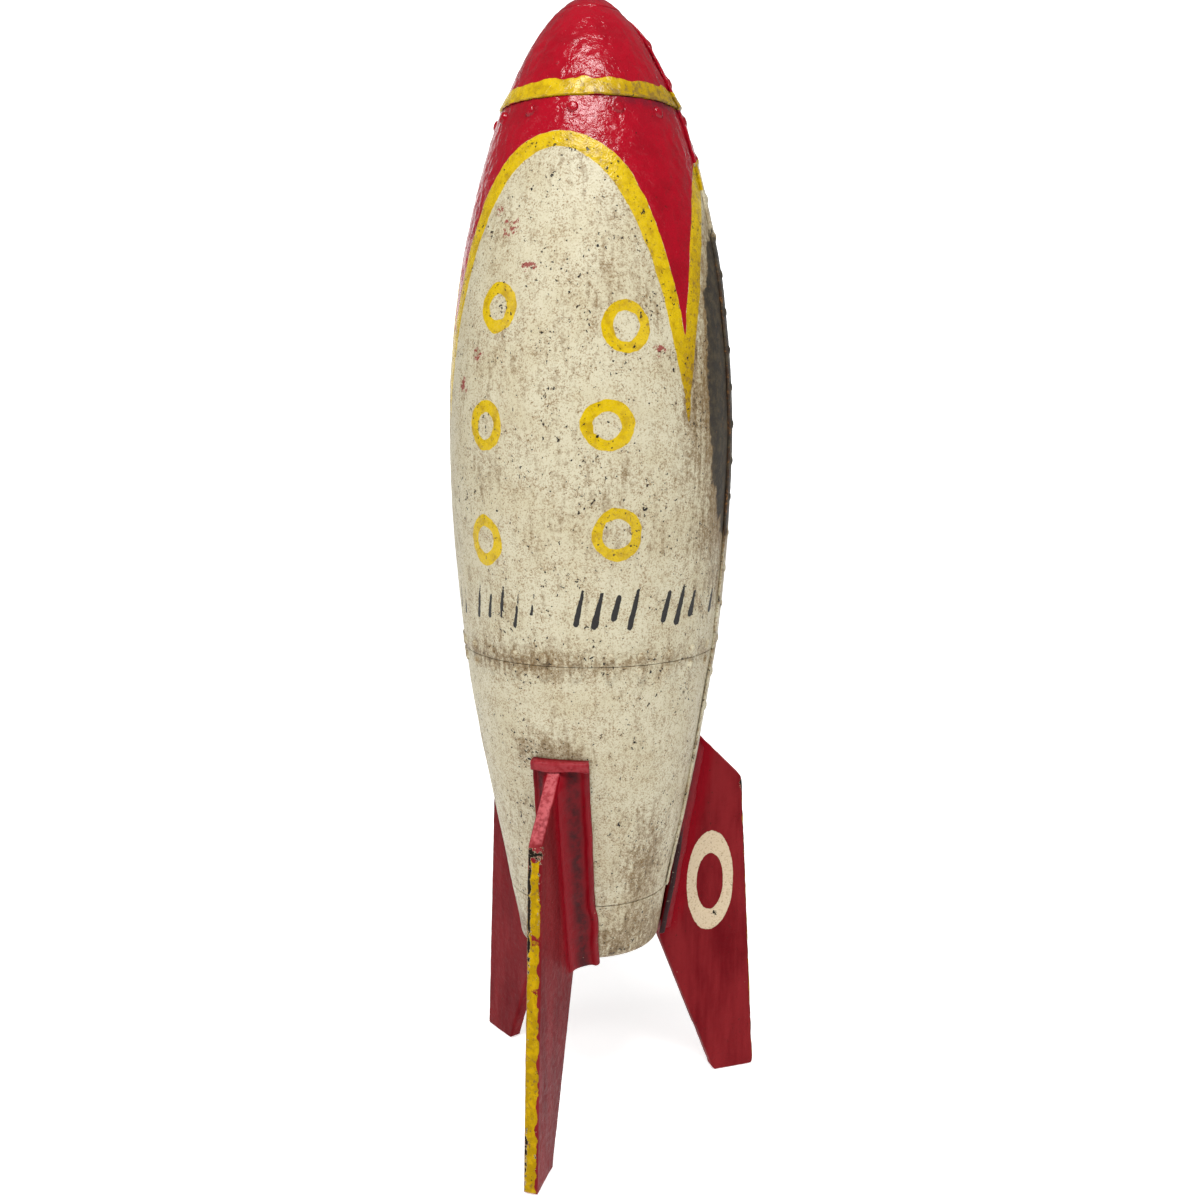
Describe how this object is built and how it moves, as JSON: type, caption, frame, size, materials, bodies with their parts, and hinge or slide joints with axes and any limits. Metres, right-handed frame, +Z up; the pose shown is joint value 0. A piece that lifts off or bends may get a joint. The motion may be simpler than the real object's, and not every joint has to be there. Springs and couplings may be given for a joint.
{
  "type": "tin space rocket",
  "caption": "Riveted sheet-metal toy space rocket with a red nose, a cream cigar-shaped hull and red plate fins with yellow edges, standing upright on its fins.",
  "frame": {"origin": "centre of the footprint at ground level, midway between the front fin's tip and the back of the hull; the hull's axis stands 14.7 mm behind it", "axes": "+Z up along the hull towards the nose, -Y towards the front fin, +X towards the right fin's side"},
  "size_m": [0.1718, 0.1776, 0.597],
  "materials": {
    "nose_enamel": "gloss crimson enamel, wrinkled by the brush",
    "rivet_enamel": "gloss crimson enamel",
    "hull_enamel": "aged cream enamel, pitted and stained, with a hand-painted red and yellow collar",
    "hoop_enamel": "aged cream enamel on the rivet heads",
    "fin_enamel": "satin crimson enamel with chipped yellow edges",
    "shoe_enamel": "satin crimson enamel",
    "bare_steel": "unpainted"
  },
  "bodies": {
    "root": {"nose_tip": "nose_enamel", "nose_cap_front": "nose_enamel", "nose_cap_rear": "nose_enamel", "nose_collar": "bare_steel", "nose_rivet_01": "rivet_enamel", "nose_rivet_02": "rivet_enamel", "nose_rivet_03": "rivet_enamel", "nose_rivet_04": "rivet_enamel", "nose_rivet_05": "rivet_enamel", "nose_rivet_06": "rivet_enamel", "nose_rivet_07": "rivet_enamel", "nose_rivet_08": "rivet_enamel", "nose_rivet_09": "rivet_enamel", "nose_rivet_10": "rivet_enamel", "nose_rivet_11": "rivet_enamel", "nose_rivet_12": "rivet_enamel", "barrel_front": "hull_enamel", "barrel_rear": "hull_enamel", "mid_hoop": "hoop_enamel", "tail_front": "hull_enamel", "tail_rear": "hull_enamel", "tail_hoop": "bare_steel", "tail_pan": "hull_enamel", "fin_front": "fin_enamel", "fin_right": "fin_enamel", "fin_left": "fin_enamel", "fin_shoe_front": "shoe_enamel", "fin_shoe_right": "shoe_enamel", "fin_shoe_left": "shoe_enamel"}
  },
  "joints": []
}
